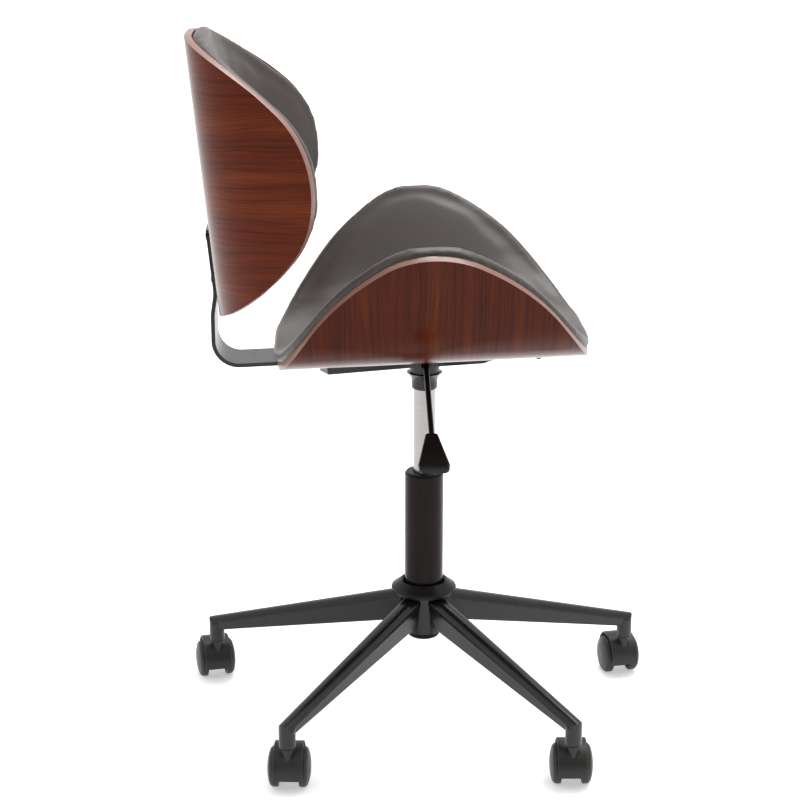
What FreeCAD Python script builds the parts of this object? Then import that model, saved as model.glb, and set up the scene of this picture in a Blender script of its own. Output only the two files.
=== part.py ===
import FreeCAD, Part
import math
import os
from FreeCAD import Placement, Rotation, Vector

# Bentwood swivel chair on a five-legged caster base.
# Frame: origin on the column axis at the floor, Z up, the sitter looks along -Y, X is the chair's left.
# Rest is the chair fully raised, as photographed.

doc = FreeCAD.newDocument("swivel_chair")
sheet = doc.addObject("Spreadsheet::Sheet", "sizes")

SIZES = [
    # floor base
    ("star_turn", -0.8, "heading of the first leg from the chair's left, degrees"),
    ("leg_count", 5, "legs and casters"),
    ("socket_radius", 295.0, "circle of the caster sockets"),
    ("socket_od", 20.4, "socket tube at a leg's tip, outside"),
    ("socket_bottom", 62.2, "height of the sockets' lower ends"),
    ("leg_root_top", 168.0, "top of a leg at the hub"),
    ("leg_root_bottom", 125.0, "underside of a leg at the hub"),
    ("leg_root_width", 27.0, "width of a leg at the hub"),
    ("leg_tip_top", 95.3, "top of a leg over its socket"),
    ("socket_drop", 9.0, "top of the socket under the leg's crown"),
    ("leg_tip_depth", 22.0, "depth of a leg at its tip"),
    ("leg_tip_width", 19.0, "width of a leg at its tip"),
    ("leg_crease", 1.3, "step of the pressed crease along a leg"),
    ("hub_od", 57.0, "hub tube, outside"),
    ("hub_top", 175.0, "top of the hub tube"),
    ("hub_bottom", 115.0, "lower end of the hub tube"),
    ("cover_hole_r", 28.5, "hole of the hub cover"),
    ("cover_top", 183.5, "top edge of the hub cover"),
    ("cover_radius", 42.6, "widest radius of the hub cover"),
    ("cover_waist", 172.0, "height of the cover's widest line"),
    ("cover_skirt", 168.6, "lower edge of the hub cover"),
    ("cover_skirt_r", 40.0, "radius of the cover's lower edge"),
    ("cover_wall", 1.6, "wall of the hub cover"),
    # gas lift
    ("column_od", 50.0, "outer column, outside"),
    ("column_wall", 1.5, "wall of the outer column"),
    ("column_top", 331.0, "rim of the outer column"),
    ("column_foot", 104.7, "lower end of the outer column"),
    ("foot_od", 42.4, "outer column's necked foot"),
    ("foot_floor", 3.0, "floor of the outer column's foot"),
    ("neck_height", 26.0, "length over which the column necks in"),
    ("cylinder_od", 28.0, "gas cylinder, outside"),
    ("cylinder_wall", 1.8, "wall of the gas cylinder"),
    ("cylinder_length", 216.0, "length of the gas cylinder"),
    ("cylinder_drop", 23.2, "upper end of the gas cylinder below the seat"),
    ("taper_length", 30.0, "length of the cylinder's upper cone"),
    ("taper_top_od", 26.4, "small end of the upper cone"),
    ("bushing_length", 62.0, "guide bushing in the outer column"),
    ("bushing_lip", 2.0, "lip of the bushing over the column's rim"),
    ("rod_od", 10.0, "piston rod"),
    ("piston_length", 12.0, "length of the piston"),
    ("bearing_od", 30.0, "thrust bearing"),
    ("bearing_plate", 2.0, "thickness of each bearing washer"),
    ("ball_diameter", 4.5, "balls of the thrust bearing"),
    ("ball_count", 10, "balls in the thrust bearing"),
    ("pin_od", 8.0, "release button on the cylinder"),
    ("pin_stand", 7.2, "release button above the cylinder"),
    ("running_gap", 0.05, "radial running clearance"),
    ("touch_gap", 0.3, "gap at soft and sliding faces"),
    # mechanism
    ("sleeve_od", 33.0, "socket sleeve on the cylinder's cone"),
    ("sleeve_length", 21.8, "length of the socket sleeve up to its rim"),
    ("flare_height", 10.0, "height of the sleeve's flare"),
    ("flare_od", 45.6, "flared upper end of the sleeve"),
    ("flare_drop", 31.7, "rim of the flare below the seat"),
    ("drum_od", 38.0, "drum between sleeve and seat plate"),
    ("drum_wall", 3.0, "wall of the drum"),
    ("plate_gauge", 2.5, "sheet thickness of the seat plate"),
    ("arm_width", 24.0, "width of an arm of the seat plate"),
    ("arm_depth", 21.0, "depth of an arm near the drum"),
    ("arm_tip_depth", 10.0, "depth of a rear arm at its end"),
    ("arm_toe_depth", 7.0, "depth of a front arm at its end"),
    ("bolt_x", 56.0, "seat bolts, half spacing across"),
    ("bolt_rear", 118.0, "seat bolts behind the column"),
    ("bolt_front", 78.0, "seat bolts in front of the column"),
    ("arm_overrun", 13.0, "arm beyond its bolt"),
    # lever
    ("lever_od", 7.0, "lever rod"),
    ("lever_drop", 12.2, "axis of the rod inside the drum below the seat"),
    ("lever_pivot_x", 13.0, "pivot from the column axis"),
    ("lever_bend_x", 26.0, "bend of the rod from the column axis"),
    ("lever_dip", 20.0, "fall of the outer rod, degrees"),
    ("lever_length", 178.0, "outer rod up to its end in the paddle"),
    ("pivot_od", 3.0, "lever pivot pin"),
    ("paddle_length", 68.0, "length of the paddle"),
    ("paddle_root", 16.0, "width of the paddle at the rod"),
    ("paddle_width", 38.0, "width of the paddle near its end"),
    ("paddle_depth", 8.0, "thickness of the paddle"),
    ("paddle_socket", 25.0, "rod inside the paddle"),
    # seat
    ("seat_height", 497.2, "underside of the seat over the column"),
    ("seat_tilt", 2.31, "rise of the seat to the front, degrees"),
    ("ply", 9.0, "thickness of the moulded plywood"),
    ("seat_flat", 60.0, "half width of the seat's flat bottom"),
    ("seat_bend", 125.0, "outer bend radius of the seat"),
    ("seat_wing", 60.0, "slope of the seat's wings, degrees"),
    ("seat_half", 302.4, "seat from middle to wing tip along the wood"),
    ("seat_middle", -8.0, "middle of the seat from the column axis, rearwards"),
    ("seat_tip_shift", 5.0, "wing tips behind the middle of the seat"),
    ("seat_reach", 189.7, "seat from its middle to either end"),
    ("seat_tip_r", 102.8, "rounding of the seat's wing tips"),
    ("seat_flank", 35.0, "slope of the seat's flanks, degrees"),
    ("seat_corner_r", 292.0, "rounding of the seat's corners"),
    # back
    ("back_rise", 216.8, "back's reference point above the seat's underside"),
    ("back_depth", 271.3, "back's outer face behind the column axis"),
    ("back_tilt", 5.56, "lean of the back, degrees"),
    ("back_flat", 40.0, "half width of the back's flat middle"),
    ("back_bend", 150.0, "outer bend radius of the back"),
    ("back_wing", 58.0, "slope of the back's wings, degrees"),
    ("back_half", 265.3, "back from middle to wing tip along the wood"),
    ("back_middle", 8.5, "middle of the back above the reference point"),
    ("back_tip_shift", 1.0, "wing tips above the middle of the back"),
    ("back_reach_up", 172.0, "back from its middle to the top"),
    ("back_reach_down", 169.5, "back from its middle to the bottom"),
    ("back_tip_r", 117.3, "rounding of the back's wing tips"),
    ("back_flank", 47.5, "slope of the back's flanks, degrees"),
    ("back_corner_r", 290.0, "rounding of the back's corners"),
    # pads
    ("pad_edge", 14.5, "thickness of the pads at their rolled edge"),
    ("seat_crown", 14.0, "extra thickness of the seat pad at its middle"),
    ("back_crown", 13.0, "extra thickness of the back pad at its middle"),
    ("seat_pad_side", 4.5, "seat pad beyond the wood at the wing tips"),
    ("seat_pad_front", 7.0, "seat pad beyond the wood at the front"),
    ("seat_pad_rear", 10.5, "seat pad beyond the wood at the rear"),
    ("back_pad_side", -4.5, "back pad beyond the wood at the wing tips"),
    ("back_pad_top", 5.0, "back pad beyond the wood at the top"),
    ("back_pad_bottom", 3.0, "back pad beyond the wood at the bottom"),
    # bracket
    ("bar_width", 70.0, "width of the back bracket"),
    ("bar_gauge", 5.0, "thickness of the back bracket"),
    ("bar_set", 4.1, "rear face of the bracket's upright ahead of the back's reference point"),
    ("bar_bend_r", 34.0, "outer bend radius of the bracket"),
    ("bar_kink", 79.8, "height above the seat where the bracket meets the back"),
    ("bar_end", 14.0, "upper end of the bracket beyond the upper back screw"),
    ("bar_front", 120.0, "front end of the bracket behind the column axis"),
    ("back_screw_low", 11.5, "lower back screw above the bracket's bend"),
    ("back_screw_pitch", 54.5, "upper back screw above the lower one"),
    ("bar_bolt_rear", 165.0, "rear bracket bolt behind the column axis"),
    ("bar_bolt_front", 137.0, "front bracket bolt behind the column axis"),
    ("bolt_od", 6.0, "bolt shanks"),
    ("head_od", 13.0, "bolt heads"),
    ("head_height", 3.6, "height of a bolt head"),
    ("front_screw_x", 74.0, "front screws, half spacing"),
    ("front_screw_y", 137.0, "front screws before the column axis"),
    # casters
    ("wheel_radius", 25.0, "caster wheel"),
    ("wheel_inner", 13.0, "inner face of a wheel from the middle"),
    ("wheel_tread", 19.0, "outer edge of the tread from the middle"),
    ("wheel_outer", 26.4, "top of a wheel's dome from the middle"),
    ("hood_radius", 31.5, "outer radius of the hood"),
    ("hood_wall", 2.3, "wall of the hood"),
    ("hood_half", 18.0, "half width of the hood"),
    ("web_half", 12.4, "half width of the hood's web"),
    ("trail", 21.0, "axle behind the swivel axis"),
    ("axle_od", 6.0, "caster axle"),
    ("axle_half", 22.0, "half length of the caster axle"),
    ("stem_od", 11.0, "caster stem in its sleeve"),
    ("stem_length", 24.0, "stem above the socket's lower end"),
    ("sleeve_wall", 2.2, "wall of the plastic sleeve in a socket"),
    ("sleeve_roof", 3.0, "closed end of the sleeve above the stem"),
    ("collar_od", 12.6, "collar under the socket"),
    ("collar_height", 2.2, "height of the collar"),
    ("swivel_pin_od", 8.0, "pin of the stem inside the hood"),
    ("swivel_pin_length", 15.0, "length of the pin inside the hood"),
    ("boss_top_r", 8.0, "hood boss at its top"),
    ("boss_low_r", 4.5, "hood boss at its lower end"),
    ("boss_length", 16.0, "length of the hood boss"),
]
for row, (name, number, note) in enumerate(SIZES, start=1):
    sheet.set("A%d" % row, note)
    sheet.set("B%d" % row, str(number))
    sheet.setAlias("B%d" % row, name)
doc.recompute()

parts = {}


def size(name):
    """A driving dimension as it stands in the sheet."""
    return float(getattr(sheet, name))


def above_seat(name):
    """A height given in the sheet from the seat's underside upwards."""
    return size("seat_height") + size(name)


def below_seat(name):
    """A height given in the sheet from the seat's underside downwards."""
    return size("seat_height") - size(name)


def bind(item, **expressions):
    """Tie properties of an object to the sheet; names in the text are the sheet's aliases."""
    for prop, text in expressions.items():
        words = []
        for word in text.replace("(", " ( ").replace(")", " ) ").split():
            words.append("sizes." + word if word.isidentifier() and word in ALIASES else word)
        item.setExpression(prop.replace("_", "."), " ".join(words))
    return item


ALIASES = {name for name, number, note in SIZES}


def cylinder(name, radius, height, bottom=None):
    """An upright cylinder with sizes bound to the sheet; with a bottom, it stands on the column axis."""
    item = doc.addObject("Part::Cylinder", name)
    bind(item, Radius=radius, Height=height)
    return bind(item, Placement_Base_z=bottom) if bottom else item


def cut(name, base, tool):
    item = doc.addObject("Part::Cut", name)
    item.Base, item.Tool = base, tool
    return item


def keep(node, item):
    """Name a finished sub-part; its label is the node's name."""
    item.Label = node
    parts[node] = item
    return item


def feature(node, shape, placement=None):
    """A sub-part whose form comes from Part's own functions."""
    item = doc.addObject("Part::Feature", node + "_form")
    item.Shape = shape
    if placement:
        item.Placement = placement
    return keep(node, item)


def turned(points, axis=Vector(0, 0, 1), angle=360):
    """Solid of revolution; points are (radius, height), or (p, q, r) where the run to r arcs through q."""
    edges = []
    here = None
    for point in points + [points[0]]:
        if len(point) == 4:
            middle, end = Vector(point[0], 0, point[1]), Vector(point[2], 0, point[3])
            edges.append(Part.Arc(here, middle, end).toShape())
        else:
            end = Vector(point[0], 0, point[1])
            if here is not None and (end - here).Length > 1e-6:
                edges.append(Part.makeLine(here, end))
        here = end
    return Part.Face(Part.Wire(edges)).revolve(Vector(0, 0, 0), axis, angle)


def drilled(shape, *tools):
    for tool in tools:
        shape = shape.cut(tool)
    return shape


def leg_angles():
    count = int(size("leg_count"))
    return [size("star_turn") + 360.0 * number / count for number in range(count)]


# Floor base

def leg_section(x, top, bottom, width, crease):
    """Rounded pressed top over flatter sides, with a crease between them, in the plane across the leg."""
    half, mid = width / 2, top - width * 0.42
    foot, low = width * 0.30, bottom + width * 0.12
    knee = bottom + 0.3 * (low - bottom)

    def at(y, z):
        return Vector(x, y, z)

    slant = half * math.sin(math.radians(45))
    rise = (top - mid) * math.sin(math.radians(45))
    edges = [
        Part.Arc(at(-half, mid), at(-slant, mid + rise), at(0, top)).toShape(),
        Part.Arc(at(0, top), at(slant, mid + rise), at(half, mid)).toShape(),
        Part.makeLine(at(half, mid), at(half - crease, mid - crease)),
        Part.makeLine(at(half - crease, mid - crease), at(foot + crease, low)),
        Part.Arc(at(foot + crease, low), at(foot, knee), at(foot * 0.6, bottom)).toShape(),
        Part.makeLine(at(foot * 0.6, bottom), at(-foot * 0.6, bottom)),
        Part.Arc(at(-foot * 0.6, bottom), at(-foot, knee), at(-foot - crease, low)).toShape(),
        Part.makeLine(at(-foot - crease, low), at(crease - half, mid - crease)),
        Part.makeLine(at(crease - half, mid - crease), at(-half, mid)),
    ]
    return Part.Wire(edges)


def leg_shape():
    """One leg along +X: a tapered tube run out over its upright caster socket and trimmed to it."""
    reach, socket_r = size("socket_radius"), size("socket_od") / 2
    root_x = size("hub_od") / 2 - 1.0
    tip_top = size("leg_tip_top")
    fall = (size("leg_root_top") - tip_top) / (reach - root_x)
    tip_x = reach + socket_r + 1.0
    root = leg_section(root_x, size("leg_root_top"), size("leg_root_bottom"), size("leg_root_width"),
                       size("leg_crease"))
    tip = leg_section(tip_x, tip_top - fall * (tip_x - reach), tip_top - size("leg_tip_depth"),
                      size("leg_tip_width"), size("leg_crease"))
    wide = 2 * size("leg_root_width")
    post = Part.makeCylinder(socket_r, 2 * tip_top, Vector(reach, 0, 0))
    span = Part.makeBox(reach, wide, 2 * size("leg_root_top"), Vector(0, -wide / 2, 0))
    tube = Part.makeLoft([root, tip], True, True).common(span.fuse(post))
    socket = Part.makeCylinder(socket_r, tip_top + socket_r - size("socket_bottom"),
                               Vector(reach, 0, size("socket_bottom")))
    lid = Part.makeBox(wide, wide, 2 * wide, Vector(-wide / 2, -wide / 2, 0))
    lid.rotate(Vector(0, 0, 0), Vector(0, 1, 0), math.degrees(math.atan(fall)))
    lid.translate(Vector(reach, 0, tip_top - size("socket_drop")))
    body = tube.fuse(socket.cut(lid)).removeSplitter()
    bore = Part.makeCylinder(sleeve_radius(), size("stem_length") + size("sleeve_roof"),
                             Vector(reach, 0, size("socket_bottom")))
    hub = Part.makeCylinder(size("hub_od") / 2, 2 * size("hub_top"))
    return drilled(body, bore, hub)


def sleeve_radius():
    return size("stem_od") / 2 + size("sleeve_wall")


def base_parts():
    leg = leg_shape()
    stand = Vector(0, 0, 1)
    for number, angle in enumerate(leg_angles(), start=1):
        feature("leg_%d" % number, leg.copy(), Placement(Vector(0, 0, 0), Rotation(stand, angle)))

    outer = cylinder("hub_tube_outer", "hub_od / 2", "hub_top - hub_bottom", "hub_bottom")
    inner = cylinder("hub_tube_inner", "column_od / 2", "hub_top", "hub_bottom + 8")
    throat = cylinder("hub_throat", "foot_od / 2", "hub_top", "hub_bottom - 1")
    keep("hub_tube", cut("hub_tube_body", cut("hub_tube_bored", outer, inner), throat))

    wall = size("cover_wall")
    hole, top = size("cover_hole_r"), size("cover_top")
    wide, waist = size("cover_radius"), size("cover_waist")
    skirt_r, skirt = size("cover_skirt_r"), size("cover_skirt")
    seat_r, floor = hole - 1.3, size("hub_top")
    feature("hub_cover", turned([
        (seat_r, floor), (seat_r, top - 2.0), (hole + wall * 0.2, top - wall * 0.4, hole + wall, top),
        (wide - 2.4, waist + 3.6), (wide - 0.3, waist + 1.9, wide, waist),
        (skirt_r + wall, skirt), (skirt_r, skirt), (wide - wall, waist - 0.4),
        (wide - wall - 2.0, waist + 2.4), (hole + 0.8, top - wall * 1.4), (hole + 0.8, floor),
    ]).cut(cover_slots()))


def cover_slots():
    """Room for the legs' roots where they pass the cover's lower edge."""
    tools = []
    width = size("leg_root_width") + 1.0
    for angle in leg_angles():
        slot = Part.makeBox(60, width, 30, Vector(0, -width / 2, size("leg_root_top") - 29.4))
        slot.rotate(Vector(0, 0, 0), Vector(0, 0, 1), angle)
        tools.append(slot)
    return Part.makeCompound(tools)


# Gas lift

def lift_parts():
    radius, wall = size("column_od") / 2, size("column_wall")
    foot, foot_r, neck = size("column_foot"), size("foot_od") / 2, size("neck_height")
    top, rod_r, gap = size("column_top"), size("rod_od") / 2, size("running_gap")
    floor, spigot_r = size("foot_floor"), rod_r * 0.7 + gap
    feature("outer_column", turned([
        (spigot_r, foot), (foot_r - 3.5, foot), (foot_r - 1.0, foot + 1.0, foot_r, foot + 3.5),
        (foot_r, hub_step()), (radius, hub_step() + 0.2), (radius, top - 1.2),
        (radius - 0.35, top - 0.35, radius - 1.2, top), (radius - wall, top),
        (radius - wall, hub_step() + wall), (foot_r - wall, hub_step()), (foot_r - wall, foot + floor),
        (spigot_r, foot + floor),
    ]))

    bushing_r = radius - wall
    slide_r = size("cylinder_od") / 2 + gap
    lip = size("bushing_lip")
    feature("guide_bushing", turned([
        (slide_r, top - size("bushing_length")), (bushing_r, top - size("bushing_length")),
        (bushing_r, top), (radius - 1.4, top), (radius - 1.6, top + lip * 0.7, radius - 3.4, top + lip),
        (slide_r + 1.5, top + lip), (slide_r, top + lip - 1.0),
    ]))

    bearing_bottom = foot + floor
    plate, ball = size("bearing_plate"), size("ball_diameter")
    race_r = size("bearing_od") / 2
    ring(node="lower_bearing_washer", outer="bearing_od / 2", inner="rod_od / 2 + running_gap",
         bottom="column_foot + foot_floor", height="bearing_plate")
    cage_bottom = bearing_bottom + plate
    pitch = (race_r + rod_r) / 2 + 0.4
    ball_height = cage_bottom + ball / 2
    balls = [Part.makeSphere(ball / 2, Vector(pitch * math.cos(turn), pitch * math.sin(turn), ball_height))
             for turn in spaced(int(size("ball_count")))]
    cage = Part.makeCylinder(race_r - 0.5, 1.6, Vector(0, 0, cage_bottom + ball / 2 - 0.8))
    cage = drilled(cage, Part.makeCylinder(rod_r + 0.8, 50, Vector(0, 0, cage_bottom)),
                   *[Part.makeSphere(ball / 2 + 0.1, solid.CenterOfMass) for solid in balls])
    feature("ball_cage", cage)
    feature("bearing_balls", Part.makeCompound(balls))

    upper = cage_bottom + ball + gap
    piston_bottom = below_seat("cylinder_drop") - size("cylinder_length") + 14.0
    rod = turned([
        (0, foot - 4.0), (rod_r * 0.7, foot - 4.0), (rod_r * 0.7, foot - 3.0), (rod_r * 0.55, foot - 3.0),
        (rod_r * 0.55, foot - 1.6), (rod_r * 0.7, foot - 1.6), (rod_r * 0.7, foot + floor),
        (rod_r, foot + floor + 0.2), (rod_r, upper), (race_r, upper), (race_r, upper + plate),
        (rod_r, upper + plate),
        (rod_r, piston_bottom + 3.0), (rod_r * 0.6, piston_bottom + 3.0),
        (rod_r * 0.6, piston_bottom + size("piston_length")), (0, piston_bottom + size("piston_length")),
    ])
    feature("piston_rod", rod)
    bore_r = size("cylinder_od") / 2 - size("cylinder_wall")
    ring(node="piston", outer="cylinder_od / 2 - cylinder_wall - running_gap", inner="rod_od * 0.3",
         bottom="seat_height - cylinder_drop - cylinder_length + 17", height="piston_length - 3")
    ring(node="retaining_clip", outer="rod_od * 0.95", inner="rod_od * 0.275", bottom="column_foot - 2.8",
         height="1")

    cylinder_r, high = size("cylinder_od") / 2, below_seat("cylinder_drop")
    low = high - size("cylinder_length")
    pin_bore = size("pin_od") / 2 + gap
    feature("gas_cylinder", turned([
        (rod_r + gap, low), (cylinder_r - 1.5, low), (cylinder_r - 0.4, low + 0.4, cylinder_r, low + 1.5),
        (cylinder_r, high - size("taper_length")), (size("taper_top_od") / 2, high - 1.0),
        (size("taper_top_od") / 2 - 1.0, high), (pin_bore, high), (pin_bore, high - 14.0),
        (bore_r, high - 14.0), (bore_r, low + 12.0), (rod_r + gap, low + 12.0),
    ]))
    pin_r, pin_top = size("pin_od") / 2, high + size("pin_stand")
    feature("release_pin", turned([
        (0, high - 11.0), (pin_r, high - 11.0), (pin_r, pin_top - 1.2),
        (pin_r * 0.72, pin_top - 0.35, pin_r * 0.35, pin_top), (0, pin_top),
    ]))


def hub_step():
    """Height where the column's necked foot meets its full diameter, inside the hub."""
    return size("hub_bottom") + 8.0


def spaced(count):
    return [2 * math.pi * number / count for number in range(count)]


def ring(node, outer, inner, bottom, height):
    """A washer-like sub-part on the column axis, its sizes bound to the sheet."""
    body = cylinder(node + "_body", outer, height, bottom)
    bore = cylinder(node + "_bore", inner, height, bottom)
    return keep(node, cut(node + "_ring", body, bore))


# Mechanism under the seat

def seat_frame():
    """Placement of the seat's own frame: its underside plane through the column axis."""
    return Placement(Vector(0, 0, size("seat_height")), Rotation(Vector(1, 0, 0), -size("seat_tilt")))


def arm_shape(target_x, target_y):
    """One arm of the seat plate: an inverted channel, deepest at the drum; the front ones end in a slant."""
    gauge, width = size("plate_gauge"), size("arm_width")
    run = math.hypot(target_x, target_y) + size("arm_overrun")
    deep = size("arm_depth")
    tip, slant = (size("arm_tip_depth"), 2.0) if target_y > 0 else (size("arm_toe_depth"), 14.0)
    start = size("drum_od") / 2 - size("drum_wall")

    def profile(first, last, roof, lower, half):
        points = [Vector(first, -half, roof), Vector(last, -half, roof),
                  Vector(last - slant, -half, -tip - lower), Vector(first, -half, -deep - lower)]
        return Part.Face(Part.makePolygon(points + [points[0]])).extrude(Vector(0, 2 * half, 0))

    outer = profile(start, run, 0, 0, width / 2)
    inner = profile(0, run - gauge * 1.4, -gauge, 4, width / 2 - gauge)
    arm = outer.cut(inner)
    arm.rotate(Vector(0, 0, 0), Vector(0, 0, 1), math.degrees(math.atan2(target_y, target_x)))
    return arm


def bolt_places():
    x, rear, front = size("bolt_x"), size("bolt_rear"), size("bolt_front")
    return [(x, rear), (-x, rear), (x, -front), (-x, -front)]


def mechanism_parts():
    frame = seat_frame()
    gauge, bolt_r = size("plate_gauge"), size("bolt_od") / 2
    arms = [arm_shape(x, y) for x, y in bolt_places()]
    drum_r, drum_wall = size("drum_od") / 2, size("drum_wall")
    flare_top, lever_r = below_seat("flare_drop"), size("lever_od") / 2
    lever_z = below_seat("lever_drop")
    roof = Part.makeCylinder(drum_r + 4.0, gauge, Vector(0, 0, -gauge))
    plate = roof.multiFuse(arms)
    plate.Placement = frame
    drum_run = size("seat_height") + drum_r - flare_top
    drum = Part.makeCylinder(drum_r, drum_run, Vector(0, 0, flare_top))
    hollow = Part.makeCylinder(drum_r - drum_wall, drum_run + 10.0, Vector(0, 0, flare_top - 5.0))
    drum = drum.common(under_box(frame, -gauge / 2))
    hollow = hollow.common(under_box(frame, -gauge))
    window = Part.makeBox(drum_r + 30, 2 * lever_r + 3.0, 19.0,
                          Vector(-drum_r - 30, -lever_r - 1.5, lever_z - 10.0))
    window = window.common(under_box(frame, -gauge))
    pivot = Part.makeCylinder(size("pivot_od") / 2, 2 * drum_r,
                              Vector(-size("lever_pivot_x"), -drum_r, lever_z), Vector(0, 1, 0))
    holes = [hole_through(frame, x, y, bolt_r + 0.2) for x, y in bolt_places()]
    body = drilled(drum.fuse(plate), hollow, window, pivot, *holes).removeSplitter()
    feature("mechanism_plate", body)

    low, shoulder = flare_top - size("sleeve_length"), flare_top - size("flare_height")
    sleeve_r, flare_r, high = size("sleeve_od") / 2, size("flare_od") / 2, below_seat("cylinder_drop")
    cylinder_r, tip_r = size("cylinder_od") / 2, size("taper_top_od") / 2
    gap = size("running_gap")
    cone_low = high - size("taper_length")
    inner_r = drum_r - drum_wall - gap
    feature("cylinder_socket", turned([
        (cylinder_r + gap, low), (sleeve_r - 3.0, low), (sleeve_r - 0.8, low + 0.8, sleeve_r, low + 3.0),
        (sleeve_r, shoulder),
        (sleeve_r + 1.6, shoulder + size("flare_height") * 0.42, flare_r - 1.4, flare_top - 1.6),
        (flare_r, flare_top),
        (inner_r, flare_top), (inner_r, high - 1.5), (tip_r + gap, high - 1.5), (cylinder_r + gap, cone_low),
    ]))
    pin_length = 2 * math.sqrt(drum_r ** 2 - (size("lever_pivot_x") + size("pivot_od") / 2) ** 2) - 0.6
    pin = cylinder("lever_pivot_pin", "pivot_od / 2", "%.4f" % pin_length)
    pin.Placement = Placement(Vector(-size("lever_pivot_x"), -pin_length / 2, lever_z),
                              Rotation(Vector(1, 0, 0), -90))
    keep("lever_pivot", pin)


def under_box(frame, height):
    """Everything below a height in the seat's own frame."""
    wide = 2 * size("seat_reach")
    box = Part.makeBox(wide, wide, wide, Vector(-wide / 2, -wide / 2, height - wide))
    box.Placement = frame
    return box


def hole_through(frame, x, y, radius, low=-40.0, high=80.0):
    """A drill in the seat's own frame."""
    tool = Part.makeCylinder(radius, high - low, Vector(x, y, low))
    tool.Placement = frame.multiply(tool.Placement)
    return tool


def dome_bolt(length, shank_r, head_r, head_height):
    """A dome-headed bolt standing on its head: head below z = 0, shank above."""
    return turned([
        (0, length), (shank_r - 0.5, length), (shank_r, length - 0.5), (shank_r, 0), (head_r, 0),
        (head_r, -0.8), (head_r * 0.72, -head_height * 0.78, head_r * 0.3, -head_height),
        (head_r * 0.3, -head_height * 0.45), (0, -head_height * 0.45),
    ])


def tee_nut(length, shank_r, flange_r):
    return turned([(shank_r, 0), (shank_r + 1.2, 0), (shank_r + 1.2, length), (flange_r, length),
                   (flange_r, length + 1.0), (shank_r, length + 1.0)])


# Lever

def lever_parts():
    radius, height, dip = size("lever_od") / 2, below_seat("lever_drop"), math.radians(size("lever_dip"))
    bend = Vector(-size("lever_bend_x"), 0, height)
    inner_end = Vector(radius + 0.5, 0, height)
    out = Vector(-math.cos(dip), 0, -math.sin(dip))
    bend_run = 6.0
    before, after = bend + Vector(bend_run, 0, 0), bend + out * bend_run
    sweep_r = bend_run / math.tan(dip / 2)
    middle_drop = sweep_r * (1 - math.cos(dip / 2))
    middle = Vector(before.x - sweep_r * math.sin(dip / 2), 0, height - middle_drop)
    path = Part.Wire([Part.makeLine(inner_end, before), Part.Arc(before, middle, after).toShape(),
                      Part.makeLine(after, bend + out * size("lever_length"))])
    circle = Part.Wire(Part.makeCircle(radius, inner_end, Vector(-1, 0, 0)))
    rod = path.makePipeShell([circle], True, True)
    eye = Part.makeCylinder(size("pivot_od") / 2 + size("running_gap"), 4 * radius,
                            Vector(-size("lever_pivot_x"), -2 * radius, height), Vector(0, 1, 0))
    feature("lever_rod", rod.cut(eye))

    start = size("lever_length") - size("paddle_socket")
    length, depth = size("paddle_length"), size("paddle_depth")
    root_w, wide = size("paddle_root"), size("paddle_width")
    along = Placement(bend, Rotation(Vector(0, 1, 0), 180 - size("lever_dip")))

    def section(x, width, thick):
        half, side = width / 2, thick / 2
        corner = side * 0.9
        flat = half - corner

        def at(y, z):
            return Vector(x, y, z)

        return Part.Wire([
            Part.makeLine(at(-flat, side), at(flat, side)),
            Part.Arc(at(flat, side), at(half, 0), at(flat, -side)).toShape(),
            Part.makeLine(at(flat, -side), at(-flat, -side)),
            Part.Arc(at(-flat, -side), at(-half, 0), at(-flat, side)).toShape(),
        ])

    stations = [(0, root_w, depth), (length * 0.84, wide, depth * 1.25),
                (length * 0.96, wide * 0.94, depth * 1.2), (length, wide * 0.80, depth * 0.8)]
    paddle = Part.makeLoft([section(start + x, width, thick) for x, width, thick in stations], True, True)
    paddle.Placement = along
    feature("lever_paddle", paddle.cut(rod))


# Moulded plywood shells and their pads

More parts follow.
